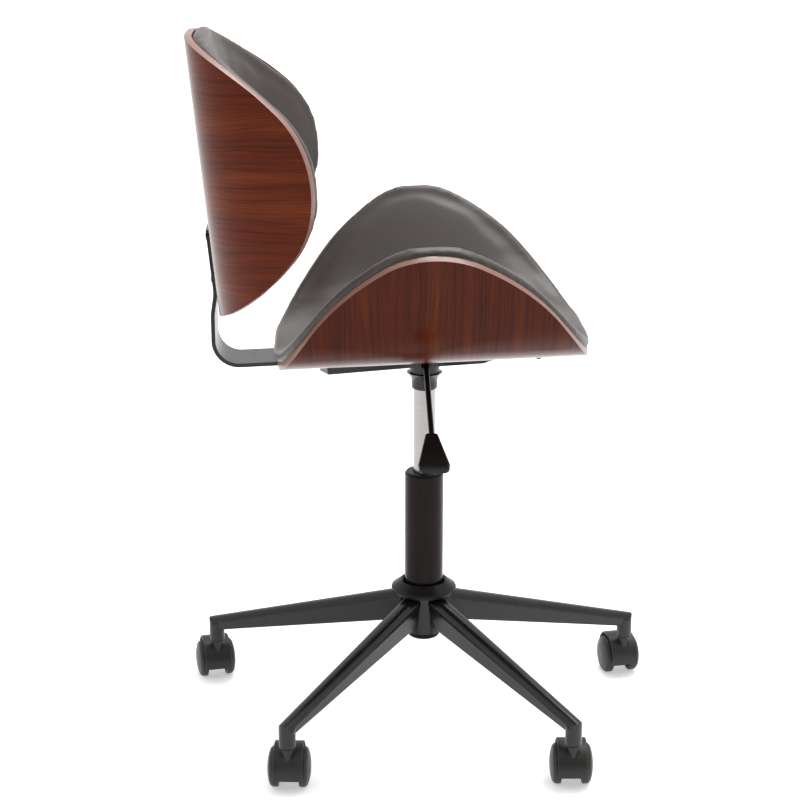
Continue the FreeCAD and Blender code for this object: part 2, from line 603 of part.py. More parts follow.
class Mould:
    """A bent sheet in its own frame: lateral X, straight generators along Y, hollow side up.

    A point on it is given by s, the distance from the middle along the wood's outer face, and y.
    """

    def __init__(self, name):
        self.flat, self.bend = size(name + "_flat"), size(name + "_bend")
        self.wing, self.flank = (math.radians(size(name + key)) for key in ("_wing", "_flank"))
        self.half, self.middle = size(name + "_half"), size(name + "_middle")
        self.tip_shift = size(name + "_tip_shift")
        self.tip_r, self.corner_r = size(name + "_tip_r"), size(name + "_corner_r")
        ends = ("_reach", "_reach") if name == "seat" else ("_reach_down", "_reach_up")
        self.reach = {-1: size(name + ends[0]), 1: size(name + ends[1])}

    def point(self, s, y, lift):
        """Place of (s, y), lifted along the sheet's normal."""
        side, run = (1 if s >= 0 else -1), abs(s)
        turn = min(max(run - self.flat, 0) / self.bend, self.wing)
        straight = max(run - self.flat - self.bend * self.wing, 0)
        x = min(run, self.flat) + self.bend * math.sin(turn) + straight * math.cos(turn)
        z = self.bend * (1 - math.cos(turn)) + straight * math.sin(turn)
        return Vector(side * (x - lift * math.sin(turn)), y, z + lift * math.cos(turn))

    def centre(self, s):
        """Where the outline's middle line lies at s."""
        return self.middle + self.tip_shift * (abs(s) / self.half) ** 6

    def reach_at(self, s, end, side=0.0, over=0.0):
        """Half length of the outline at s towards one end, grown sideways and at its ends."""
        run = abs(s)
        tip_r, corner_r = self.tip_r, self.corner_r
        half, reach = self.half + side, self.reach[end] + over
        slope = math.tan(self.flank)
        flank_y = tip_r * math.sin(self.flank)
        flank_s = half - tip_r * (1 - math.cos(self.flank))
        corner_y = reach - corner_r
        corner_s = flank_s - (corner_y - flank_y) * slope - corner_r / math.cos(self.flank)
        if run <= corner_s:
            return reach
        if run <= corner_s + corner_r * math.cos(self.flank):
            return corner_y + math.sqrt(max(corner_r ** 2 - (run - corner_s) ** 2, 0))
        if run <= flank_s:
            return flank_y + (flank_s - run) / slope
        return math.sqrt(max(tip_r ** 2 - (run - half + tip_r) ** 2, 0))

    def outline(self, count=30):
        """Points (s, y) once round the blank, closer together where it turns."""
        quarter = [self.half * math.sin(math.pi / 2 * step / count) for step in range(count + 1)]
        walk = [(s, 1) for s in quarter] + [(s, -1) for s in reversed(quarter[:-1])]
        walk += [(-s, -1) for s in quarter[1:]] + [(-s, 1) for s in reversed(quarter[1:-1])]
        return [(s, self.centre(s) + end * self.reach_at(s, end)) for s, end in walk]

    def sheet_solid(self, thickness, margin=25.0):
        """The bent sheet before it is cut to its outline."""
        low = self.middle - self.reach[-1] - margin
        length = self.reach[-1] + self.reach[1] + 2 * margin
        bend_s = self.flat + self.bend * self.wing
        edges = []
        for lift, ends in ((0.0, (-1, 1)), (thickness, (1, -1))):
            first, last = ends
            marks = [first * s for s in (self.half + margin, bend_s, (self.flat + bend_s) / 2, self.flat)]
            marks += [last * s for s in (self.flat, (self.flat + bend_s) / 2, bend_s, self.half + margin)]
            spots = [self.point(s, low, lift) for s in marks]
            edges += [Part.makeLine(spots[0], spots[1]), Part.Arc(*spots[1:4]).toShape(),
                      Part.makeLine(spots[3], spots[4]), Part.Arc(*spots[4:7]).toShape(),
                      Part.makeLine(spots[6], spots[7])]
        first, second = edges[4].lastVertex().Point, edges[5].firstVertex().Point
        third, fourth = edges[9].lastVertex().Point, edges[0].firstVertex().Point
        edges.insert(5, Part.makeLine(first, second))
        edges.append(Part.makeLine(third, fourth))
        return Part.Face(Part.Wire(Part.__sortEdges__(edges))).extrude(Vector(0, length, 0))

    def shell(self, thickness, margin=4.0):
        """The sheet cut square to its faces along the outline, as a router leaves it."""
        rims = []
        for lift in (-margin, thickness + margin):
            curve = Part.BSplineCurve()
            curve.interpolate([self.point(s, y, lift) for s, y in self.outline()], PeriodicFlag=True)
            rims.append(curve.toShape())
        wall = Part.makeRuledSurface(rims[0], rims[1])
        pieces = self.sheet_solid(thickness).generalFuse([wall])[0].Solids
        heart = self.point(0, self.middle, thickness / 2)
        return [piece for piece in pieces if piece.isInside(heart, 0.01, True)][0]

    def pad(self, base, edge, crown, side, over):
        """A crowned pad over the sheet with a rolled edge, lofted through sections across the bend."""
        last_s = self.half + side
        turns = [0, 9, 19, 30, 41, 52, 62, 71, 78.5, 84.5]
        marks = [last_s * math.sin(math.radians(turn)) for turn in turns]
        stations = [-s for s in reversed(marks[1:])] + marks
        wires = [self.pad_section(s, base, edge, crown, side, over) for s in stations]
        return Part.makeLoft(wires, True, False)

    def pad_section(self, s, base, edge, crown, side, over):
        """One section of the pad in the plane square to the sheet at s: line, arc, crown arc, arc."""
        roll = edge / 2
        middle_lift = base + roll
        overshoot = max(abs(s) - (self.half + side - roll), 0)
        lift_room = math.sqrt(max(roll ** 2 - overshoot ** 2, 0.04)) * 0.985
        inset = roll * (1 - math.cos(math.asin(lift_room / roll))) * 0.96
        low, high = middle_lift - lift_room, middle_lift + lift_room
        share = max(1 - (abs(s) / (self.half + side)) ** 2.6, 0)
        peak, shoulder = high + crown * share, high + 0.12 * crown * share
        centre = self.centre(s)
        rims = {end: self.reach_at(s, end, side, over[end]) for end in (-1, 1)}
        outer = {end: centre + end * max(rims[end], 0.6) for end in rims}
        inner = {end: centre + end * max(rims[end] - inset, rims[end] * 0.35) for end in rims}
        low_a, low_b = self.point(s, inner[-1], low), self.point(s, inner[1], low)
        out_a, out_b = self.point(s, outer[-1], middle_lift), self.point(s, outer[1], middle_lift)
        top_a, top_b = self.point(s, inner[-1], shoulder), self.point(s, inner[1], shoulder)
        top = self.point(s, (inner[-1] + inner[1]) / 2, peak)
        return Part.Wire([
            Part.makeLine(low_a, low_b), Part.Arc(low_b, out_b, top_b).toShape(),
            Part.Arc(top_b, top, top_a).toShape(), Part.Arc(top_a, out_a, low_a).toShape(),
        ])


def back_frame():
    """Placement of the back's own frame: its Y runs up the back and its hollow side faces the sitter."""
    return Placement(Vector(0, size("back_depth"), above_seat("back_rise")),
                     Rotation(Vector(1, 0, 0), 90 - size("back_tilt")))


def seat_and_back_parts():
    ply = size("ply")
    bolt_r, head_r, head_h = size("bolt_od") / 2, size("head_od") / 2, size("head_height")
    seat, back = Mould("seat"), Mould("back")
    frame, upright = seat_frame(), back_frame()
    gauge, bar = size("plate_gauge"), size("bar_gauge")
    nut_r, nut_run, flange_r = bolt_r + 1.2, ply - 1.6, head_r + 1.5

    # seat: bolt holes with tee nuts let in flush under the pad
    bolts = [(x, y, gauge) for x, y in bolt_places()]
    bolts += [(0, size("bar_bolt_rear"), bar), (0, size("bar_bolt_front"), bar)]
    shell = seat.shell(ply)
    for x, y, under in bolts:
        shell = drilled(shell, Part.makeCylinder(nut_r, ply + 8, Vector(x, y, -4)),
                        Part.makeCylinder(flange_r, 8, Vector(x, y, nut_run)))
    screw_x, screw_y, rise = size("front_screw_x"), size("front_screw_y"), front_screw_rise(seat)
    for side in (-1, 1):
        shell = shell.cut(Part.makeCylinder(1.6, 8.0, Vector(side * screw_x, -screw_y, rise - 2)))
    feature("seat_shell", shell, frame)
    feature("seat_pad", pad_shape("seat", seat), frame)

    nuts = [moved(tee_nut(nut_run, bolt_r, flange_r - 0.2), Vector(x, y, 0)) for x, y, under in bolts]
    feature("seat_tee_nuts", Part.makeCompound(nuts), frame)
    shanks = [moved(dome_bolt(ply + under - 0.6, bolt_r, head_r, head_h), Vector(x, y, -under))
              for x, y, under in bolts]
    feature("seat_bolts", Part.makeCompound(shanks[:4]), frame)
    feature("bracket_bolts", Part.makeCompound(shanks[4:]), frame)
    screws = [moved(dome_bolt(5.0, 1.6, 4.2, 2.4), Vector(side * screw_x, -screw_y, rise))
              for side in (-1, 1)]
    feature("front_screws", Part.makeCompound(screws), frame)

    # back: two screws through the bracket into tee nuts
    shell = back.shell(ply)
    lean = math.radians(size("back_tilt"))
    low = size("bar_kink") + size("back_screw_low") - size("back_rise")
    lifts = [rise / math.cos(lean) for rise in (low, low + size("back_screw_pitch"))]
    for y in lifts:
        shell = drilled(shell, Part.makeCylinder(nut_r, ply + 8, Vector(0, y, -4)),
                        Part.makeCylinder(flange_r, 8, Vector(0, y, nut_run)))
    feature("back_shell", shell, upright)
    feature("back_pad", pad_shape("back", back), upright)
    nuts = [moved(tee_nut(nut_run, bolt_r, flange_r - 0.2), Vector(0, y, 0)) for y in lifts]
    feature("back_tee_nuts", Part.makeCompound(nuts), upright)
    shanks = [moved(dome_bolt(ply + bar - 0.6, bolt_r, head_r, head_h), Vector(0, y, -bar)) for y in lifts]
    feature("back_screws", Part.makeCompound(shanks), upright)
    bracket_part(lifts)


def pad_shape(name, mould):
    ends = ("_pad_front", "_pad_rear") if name == "seat" else ("_pad_bottom", "_pad_top")
    over = {-1: size(name + ends[0]), 1: size(name + ends[1])}
    return mould.pad(size("ply") + size("touch_gap"), size("pad_edge"), size(name + "_crown"),
                     size(name + "_pad_side"), over)


def front_screw_rise(mould):
    """Height of the seat's curved underside at the front screws, in the seat's own frame."""
    over = max(size("front_screw_x") - 4.2 - mould.flat, 0)
    return mould.bend - math.sqrt(mould.bend ** 2 - over ** 2)


def moved(shape, by):
    shape.translate(by)
    return shape


def bracket_part(lifts):
    """Flat steel bent from under the seat, up behind it and along the back's leaning face."""
    bar, width, bend = size("bar_gauge"), size("bar_width"), size("bar_bend_r")
    tilt, lean = math.radians(size("seat_tilt")), math.radians(size("back_tilt"))
    rear = size("back_depth") - size("bar_set")

    def under(y):
        """Underside of the seat at y."""
        return size("seat_height") - y * math.tan(tilt)

    def behind(z):
        """Outer face of the back at z."""
        return size("back_depth") + (z - above_seat("back_rise")) * math.tan(lean)

    front, kink = size("bar_front"), above_seat("bar_kink")
    top = kink + size("back_screw_low") + size("back_screw_pitch") + size("bar_end")
    inner = [Vector(0, front, under(front)), Vector(0, rear - bar, under(rear - bar)),
             Vector(0, rear - bar, kink - 26), Vector(0, behind(kink), kink), Vector(0, behind(top), top)]
    rounds = [None, bend - bar, 60, 60, None]
    path = filleted_path(inner, rounds)
    strip = path.makeOffset2D(bar, openResult=True, join=0)
    near, far = path.OrderedVertexes[0].Point, path.OrderedVertexes[-1].Point
    tips = sorted([strip.OrderedVertexes[k].Point for k in (0, -1)], key=lambda spot: (spot - near).Length)
    edges = path.Edges + strip.Edges + [Part.makeLine(near, tips[0]), Part.makeLine(far, tips[1])]
    face = Part.Face(Part.Wire(Part.__sortEdges__(edges)))
    body = face.extrude(Vector(width, 0, 0))
    body.translate(Vector(-width / 2, 0, 0))
    corners = [edge for edge in body.Edges
               if abs(edge.Length - bar) < 0.2 and abs(abs(edge.CenterOfMass.x) - width / 2) < 0.1]
    body = body.makeFillet(6.0, corners)
    holes = [hole_through(seat_frame(), 0, size(name), size("bolt_od") / 2 + 0.2)
             for name in ("bar_bolt_rear", "bar_bolt_front")]
    holes += [hole_through(back_frame(), 0, y, size("bolt_od") / 2 + 0.2) for y in lifts]
    feature("back_bracket", drilled(body, *holes))


def filleted_path(points, rounds):
    """A wire through points with its corners rounded by the given radii."""
    edges, here = [], points[0]
    for corner, ahead, radius in zip(points[1:-1], points[2:], rounds[1:-1]):
        into, out = (corner - here).normalize(), (ahead - corner).normalize()
        turn = into.getAngle(out)
        run = radius * math.tan(turn / 2)
        first, last = corner - into * run, corner + out * run
        inward = (out - into).normalize()
        middle = corner + inward * (radius / math.cos(turn / 2) - radius)
        edges += [Part.makeLine(here, first), Part.Arc(first, middle, last).toShape()]
        here = last
    edges.append(Part.makeLine(here, points[-1]))
    return Part.Wire(edges)


# Casters

def hood_shape():
    """Barrel hood over the twin wheels with its web and the boss for the stem; swivel axis on Z."""
    radius, wall = size("hood_radius"), size("hood_wall")
    half, web, trail = size("hood_half"), size("web_half"), size("trail")
    middle = Vector(trail, 0, size("wheel_radius"))
    across = Vector(0, 1, 0)

    def drum(r, low, high):
        return Part.makeCylinder(r, high - low, middle + Vector(0, low, 0), across)

    barrel = drum(radius, -half, half)
    rims = [edge for edge in barrel.Edges if edge.Curve.TypeId == "Part::GeomCircle"]
    barrel = barrel.makeFillet(1.2, rims)
    barrel = drilled(barrel, drum(radius - wall, web, half), drum(radius - wall, -half, -web))
    reach = 3 * radius
    low_front, low_rear = math.radians(100), math.radians(-75)
    spots = [middle]
    for angle in (low_front, math.radians(150), math.pi, math.radians(230), low_rear + 2 * math.pi):
        spots.append(middle + Vector(-math.sin(angle), 0, math.cos(angle)) * reach)
    wedge = Part.Face(Part.makePolygon(spots + [spots[0]])).extrude(Vector(0, 2 * radius, 0))
    wedge.translate(Vector(0, -radius, 0))
    barrel = barrel.cut(wedge.cut(drum(14.0, -web, web)))
    top = size("socket_bottom") - size("collar_height")
    boss = Part.makeCone(size("boss_low_r"), size("boss_top_r"), size("boss_length"),
                         Vector(0, 0, top - size("boss_length")))
    bore_r, bore_run = size("swivel_pin_od") / 2 + size("running_gap"), size("swivel_pin_length")
    bore = Part.makeCylinder(bore_r, bore_run + 1.0, Vector(0, 0, top - bore_run))
    return drilled(barrel.fuse(boss).removeSplitter(), bore, drum(size("axle_od") / 2, -half, half))


def wheel_shape():
    """One wheel on its own axis, its inner face towards z = 0."""
    radius, inner, tread, outer = (size(name) for name in ("wheel_radius", "wheel_inner", "wheel_tread",
                                                           "wheel_outer"))
    bore = size("axle_od") / 2 + size("running_gap")
    return turned([
        (bore, inner), (6.5, inner), (6.5, inner + 5), (radius - 4.5, inner + 5), (radius - 4.5, inner),
        (radius - 0.6, inner), (radius, inner + 0.6), (radius, tread),
        (radius - 1.6, tread + 3.0, radius - 5.0, tread + 4.9), (radius * 0.45, outer - 0.35, 1.5, outer),
        (0, outer),
        (0, size("axle_half") + 0.2), (bore, size("axle_half") + 0.2),
    ])


def caster_parts():
    hood, wheel = hood_shape(), wheel_shape()
    trail, wheel_r = size("trail"), size("wheel_radius")
    axle_half, across = size("axle_half"), Rotation(Vector(1, 0, 0), -90)
    socket, reach = size("socket_bottom"), size("socket_radius")
    stem_r, sleeve_r = size("stem_od") / 2, sleeve_radius()
    collar_r, collar = size("collar_od") / 2, size("collar_height")
    pin_r, pin_run = size("swivel_pin_od") / 2, size("swivel_pin_length")
    stem = turned([
        (0, socket - collar - pin_run + 1.0), (pin_r - 0.8, socket - collar - pin_run + 1.0),
        (pin_r, socket - collar - pin_run + 1.8), (pin_r, socket - collar), (pin_r, socket - collar + 0.1),
        (collar_r, socket - collar + 0.1), (collar_r, socket), (stem_r, socket),
        (stem_r, socket + size("stem_length") - 2.0), (stem_r - 2.0, socket + size("stem_length")),
        (0, socket + size("stem_length")),
    ])
    sleeve = Part.makeCylinder(sleeve_r, size("stem_length") + size("sleeve_roof"), Vector(0, 0, socket))
    sleeve = sleeve.cut(Part.makeCylinder(stem_r, size("stem_length") + 1.0, Vector(0, 0, socket)))
    up = Vector(0, 0, 1)
    stems, sleeves = [], []
    for number, angle in enumerate(leg_angles(), start=1):
        turn = math.radians(angle)
        place = Vector(reach * math.cos(turn), reach * math.sin(turn), 0)
        stems.append(moved(stem.copy(), place))
        sleeves.append(moved(sleeve.copy(), place))
        yaw = caster_yaw(number)
        stand = Placement(place, Rotation(up, yaw))
        feature("caster_%d_hood" % number, hood.copy(), stand)
        axle = cylinder("caster_%d_axle_pin" % number, "axle_od / 2", "2 * axle_half")
        axle.Placement = stand.multiply(Placement(Vector(trail, -axle_half, wheel_r), across))
        keep("caster_%d_axle" % number, axle)
        for side, roll in (("left", -90), ("right", 90)):
            lay = Placement(Vector(trail, 0, wheel_r), Rotation(Vector(1, 0, 0), roll))
            feature("caster_%d_wheel_%s" % (number, side), wheel.copy(), stand.multiply(lay))
    feature("caster_stems", Part.makeCompound(stems))
    feature("caster_sleeves", Part.makeCompound(sleeves))


# Headings of the five casters as they happened to stand, degrees from +X
HEADINGS = (8.0, 12.0, -4.0, -2.0, 11.0)


def caster_yaw(number):
    return HEADINGS[(number - 1) % len(HEADINGS)]


base_parts()
lift_parts()
mechanism_parts()
lever_parts()
seat_and_back_parts()
caster_parts()
doc.recompute()

for item in doc.Objects:
    if "Invalid" in item.State or "Error" in item.State:
        raise RuntimeError("%s did not build: %s" % (item.Label, item.State))
os.makedirs("parts", exist_ok=True)
for node, item in parts.items():
    shape = item.Shape
    if shape.isNull() or not shape.isValid() or not shape.Solids:
        raise RuntimeError("%s is not a sound solid" % node)
    shape.exportStep("parts/%s.step" % node)
print("%d sub-parts written" % len(parts))
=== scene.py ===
import math

import bmesh
import bpy
from mathutils import Matrix, Vector
from mathutils.bvhtree import BVHTree
from mathutils.kdtree import KDTree


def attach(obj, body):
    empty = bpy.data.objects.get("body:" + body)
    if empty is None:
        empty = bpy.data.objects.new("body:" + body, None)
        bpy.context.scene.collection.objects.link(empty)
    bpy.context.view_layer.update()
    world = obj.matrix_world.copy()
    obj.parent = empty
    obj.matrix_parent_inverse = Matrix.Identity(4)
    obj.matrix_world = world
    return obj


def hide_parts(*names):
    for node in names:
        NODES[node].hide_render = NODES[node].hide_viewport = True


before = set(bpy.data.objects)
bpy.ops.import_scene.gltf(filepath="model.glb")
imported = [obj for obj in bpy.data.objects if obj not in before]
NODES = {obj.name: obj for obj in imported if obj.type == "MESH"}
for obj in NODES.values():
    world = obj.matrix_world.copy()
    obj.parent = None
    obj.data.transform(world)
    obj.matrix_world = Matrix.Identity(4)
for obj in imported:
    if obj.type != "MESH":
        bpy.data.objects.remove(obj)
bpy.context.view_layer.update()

bl_info = {
    "name": "Bentwood swivel chair",
    "version": (1, 0, 0),
    "blender": (4, 5, 0),
    "location": "View3D > Sidebar > Chair",
    "description": "Veneered shells, upholstered pads and finishes around the chair's frame",
    "category": "Object",
}

MM = 0.001
PLY = 9.0 * MM
PAD_BASE = PLY + 0.3 * MM
PAD_EDGE = 14.5 * MM
RISE_SEAT = 0.4972


# The two moulds: sheets bent along straight lines, given in metres and degrees as the shells are

class Mould:
    """Turns points of the row frame into places on the bent sheet, and back."""

    def __init__(self, flat, bend, wing, origin, tilt):
        self.flat, self.bend, self.wing = flat, bend, math.radians(wing)
        turn = Matrix.Rotation(math.radians(tilt), 4, "X")
        self.frame = Matrix.Translation(origin) @ turn
        self.inverse = self.frame.inverted()

    def to_sheet(self, place):
        """Distance from the middle along the wood, place along its straight lines, and height over it."""
        here = self.inverse @ place
        side, x, z = (1 if here.x >= 0 else -1), abs(here.x), here.z
        if x <= self.flat:
            return Vector((side * x, here.y, z))
        dx, dz = x - self.flat, self.bend - z
        turn = math.atan2(dx, dz)
        if turn <= self.wing:
            return Vector((side * (self.flat + self.bend * turn), here.y, self.bend - math.hypot(dx, dz)))
        cos, sin = math.cos(self.wing), math.sin(self.wing)
        dx, dz = dx - self.bend * sin, z - self.bend * (1 - cos)
        run = self.flat + self.bend * self.wing + dx * cos + dz * sin
        return Vector((side * run, here.y, dz * cos - dx * sin))

    def from_sheet(self, spot):
        side, run, lift = (1 if spot.x >= 0 else -1), abs(spot.x), spot.z
        turn = min(max(run - self.flat, 0) / self.bend, self.wing)
        straight = max(run - self.flat - self.bend * self.wing, 0)
        x = min(run, self.flat) + self.bend * math.sin(turn) + straight * math.cos(turn)
        z = self.bend * (1 - math.cos(turn)) + straight * math.sin(turn)
        place = Vector((side * (x - lift * math.sin(turn)), spot.y, z + lift * math.cos(turn)))
        return self.frame @ place

    def across(self, place):
        """The sheet's normal at a place, in the row frame."""
        spot = self.to_sheet(place)
        lower, upper = Vector((spot.x, spot.y, 0)), Vector((spot.x, spot.y, 0.01))
        return (self.from_sheet(upper) - self.from_sheet(lower)).normalized()


SEAT = Mould(0.060, 0.125, 60, Vector((0, 0, RISE_SEAT)), -2.31)
BACK = Mould(0.040, 0.150, 58, Vector((0, 0.2713, 0.714)), 90 - 5.56)


# Sizes and colours a user would change

def colour(name, text, value):
    return bpy.props.FloatVectorProperty(name=name, description=text, default=value, size=3, min=0, max=1,
                                         subtype="COLOR")


def length(name, text, value, most=0.1):
    return bpy.props.FloatProperty(name=name, description=text, default=value, min=0, max=most,
                                   subtype="DISTANCE", unit="LENGTH")


class ChairWood(bpy.types.PropertyGroup):
    heart: colour("Heartwood", "Main colour of the veneer", (0.104, 0.0140, 0.0022))
    streak: colour("Streaks", "Colour of the dark streaks in the veneer", (0.024, 0.0045, 0.0020))
    glow: colour("Light bands", "Colour of the lighter bands in the veneer", (0.190, 0.038, 0.0065))
    edge: colour("Ply edge", "Colour of the sanded and stained ply edge", (0.265, 0.122, 0.086))
    arris: length("Edge rounding", "Rounding along the edges of the wood", 1.1 * MM)


class ChairPads(bpy.types.PropertyGroup):
    cover: colour("Cover", "Colour of the pads' cover", (0.037, 0.0265, 0.0215))
    shade: colour("Cover, worn", "Colour of the cover where it is rubbed or dusty", (0.050, 0.0375, 0.0315))
    voxel: length("Mesh size", "Size of the faces the pads are simulated with", 5.0 * MM)
    swell: length("Swell", "How far the stuffing may push the cover out", 3.0 * MM)
    ridge: length("Ridge", "Height of the ridge along the pads' rims", 1.1 * MM)
    grain: length("Grain", "Size of the cover's pebbles", 1.4 * MM)


class ChairMetal(bpy.types.PropertyGroup):
    paint: colour("Paint", "Colour of the painted steel", (0.0080, 0.0075, 0.0075))
    column: colour("Column", "Colour of the lacquered column", (0.0110, 0.0065, 0.0060))
    plastic: colour("Plastic", "Colour of the cover, bushing and lever paddle", (0.0090, 0.0085, 0.0085))
    nylon: colour("Casters", "Colour of the casters' nylon", (0.026, 0.0245, 0.0235))
    chrome: colour("Cylinder", "Colour of the brushed cylinder", (0.37, 0.365, 0.36))
    zinc: colour("Fittings", "Colour of the plated fittings", (0.52, 0.51, 0.49))


class ChairStage(bpy.types.PropertyGroup):
    floor: colour("Floor", "Colour of the floor", (0.94, 0.94, 0.935))
    sky: bpy.props.FloatProperty(name="Surround", description="Strength of the white surround",
                                 default=1.0, min=0, max=5)
    key: bpy.props.FloatProperty(name="Key light", description="Power of the large light",
                                 default=66.0, min=0, max=500, unit="POWER")


# Meshes

def link(name, mesh):
    item = bpy.data.objects.new(name, mesh)
    bpy.context.scene.collection.objects.link(item)
    return item


def merged_copy(node):
    """A closed bmesh of a frame node's shape."""
    shape = bmesh.new()
    shape.from_mesh(NODES[node].data)
    bmesh.ops.remove_doubles(shape, verts=shape.verts, dist=0.02 * MM)
    bmesh.ops.dissolve_degenerate(shape, dist=0.01 * MM, edges=shape.edges)
    bmesh.ops.recalc_face_normals(shape, faces=shape.faces)
    return shape


def baked(item):
    """Apply an object's modifiers to its mesh."""
    graph = bpy.context.evaluated_depsgraph_get()
    mesh = bpy.data.meshes.new_from_object(item.evaluated_get(graph))
    item.modifiers.clear()
    item.data = mesh
    return item


def shaded(mesh, angle=40):
    mesh.shade_smooth()
    mesh.set_sharp_from_angle(angle=math.radians(angle))


def wood_piece(name, node, mould, arris, spread):
    """The moulded shell with rounded edges and a map that follows the bend; faces of the ply edge get slot 1."""
    shape = merged_copy(node)
    reach = max(abs(mould.to_sheet(vert.co).y) for vert in shape.verts)
    for vert in shape.verts:
        spot = mould.to_sheet(vert.co)
        spot.y += spread[0 if spot.y < 0 else 1] * (spot.y / reach) ** 4
        vert.co = mould.from_sheet(spot)
    mesh = bpy.data.meshes.new(name)
    shape.to_mesh(mesh)
    shape.free()
    item = link(name, mesh)
    rounding = item.modifiers.new("rounding", "BEVEL")
    rounding.width, rounding.segments = arris, 3
    rounding.limit_method, rounding.angle_limit = "ANGLE", math.radians(50)
    rounding.use_clamp_overlap = True
    baked(item)
    mesh = item.data
    map_layer = mesh.uv_layers.new(name="bend")
    for face in mesh.polygons:
        middle = mould.to_sheet(face.center)
        flat_face = abs(face.normal.dot(mould.across(face.center))) > 0.75
        inside = PLY * 0.12 < middle.z < PLY * 0.88
        face.material_index = 1 if inside and not flat_face else 0
        for loop in face.loop_indices:
            spot = mould.to_sheet(mesh.vertices[mesh.loops[loop].vertex_index].co)
            run = spot.y if face.material_index == 0 else spot.z
            map_layer.data[loop].uv = (spot.x, run)
    shaded(mesh, 35)
    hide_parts(node)
    return item


def stuffed_piece(name, node, mould, props, folds):
    """A pad: remeshed from its form, swelled by a cloth simulation, then given its ridge and folds."""
    shape = merged_copy(node)
    form = BVHTree.FromBMesh(shape)
    mesh = bpy.data.meshes.new(name)
    shape.to_mesh(mesh)
    shape.free()
    item = link(name, mesh)
    remesh = item.modifiers.new("remesh", "REMESH")
    remesh.mode, remesh.voxel_size = "VOXEL", props.voxel
    baked(item)
    mesh = item.data

    shape = bmesh.new()
    shape.from_mesh(mesh)
    for _ in range(4):
        bmesh.ops.smooth_vert(shape, verts=shape.verts, factor=0.5, use_axis_x=True, use_axis_y=True,
                              use_axis_z=True)
        for vert in shape.verts:
            vert.co = form.find_nearest(vert.co)[0]
    shape.normal_update()
    firm = [vert.co.copy() for vert in shape.verts]
    for vert in shape.verts:
        spot = mould.to_sheet(vert.co)
        if spot.z > PAD_BASE + 2.5 * MM:
            vert.co -= vert.normal * 3.0 * MM
    shape.to_mesh(mesh)
    shape.free()
    swell(item, mould, firm, props.swell)
    dress_rim(mesh, mould, props.ridge, folds)
    finer = item.modifiers.new("finer", "SUBSURF")
    finer.levels = finer.render_levels = 1
    baked(item)
    item.data.shade_smooth()
    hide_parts(node)
    return item


def swell(item, mould, firm, most):
    """Stuffing pushes the drawn-in cover out again and past its form; its glued underside stays."""
    mesh = item.data
    start = [vert.co.copy() for vert in mesh.vertices]
    glued = item.vertex_groups.new(name="glued")
    held = [vert.index for vert in mesh.vertices if mould.to_sheet(vert.co).z < PAD_BASE + 2.0 * MM]
    glued.add(held, 1.0, "REPLACE")
    cloth = item.modifiers.new("stuffing", "CLOTH")
    settings = cloth.settings
    settings.quality, settings.mass = 6, 0.25
    settings.tension_stiffness = settings.compression_stiffness = 18
    settings.shear_stiffness, settings.bending_stiffness = 8, 1.2
    settings.use_pressure, settings.uniform_pressure_force = True, 4.0
    settings.vertex_group_mass = "glued"
    settings.effector_weights.gravity = 0
    cloth.collision_settings.use_collision = False
    cloth.collision_settings.use_self_collision = False
    cloth.point_cache.frame_start, cloth.point_cache.frame_end = 1, 20
    scene = bpy.context.scene
    for number in range(1, 21):
        scene.frame_set(number)
    graph = bpy.context.evaluated_depsgraph_get()
    grown = [vert.co.copy() for vert in item.evaluated_get(graph).data.vertices]
    item.modifiers.clear()
    item.vertex_groups.clear()
    scene.frame_set(1)
    moves = evened(mesh, [new - old for old, new in zip(start, grown)], 12)
    for vert, base, move in zip(mesh.vertices, firm, moves):
        if move.length > most:
            move *= most / move.length
        vert.co = base + move


def evened(mesh, moves, rounds):
    """Vectors on a mesh's vertices, averaged with their neighbours' a number of times."""
    beside = [[] for _ in moves]
    for edge in mesh.edges:
        first, second = edge.vertices
        beside[first].append(second)
        beside[second].append(first)
    for _ in range(rounds):
        moves = [(move + sum((moves[other] for other in near), Vector((0, 0, 0)))) / (len(near) + 1)
                 for move, near in zip(moves, beside)]
    return moves


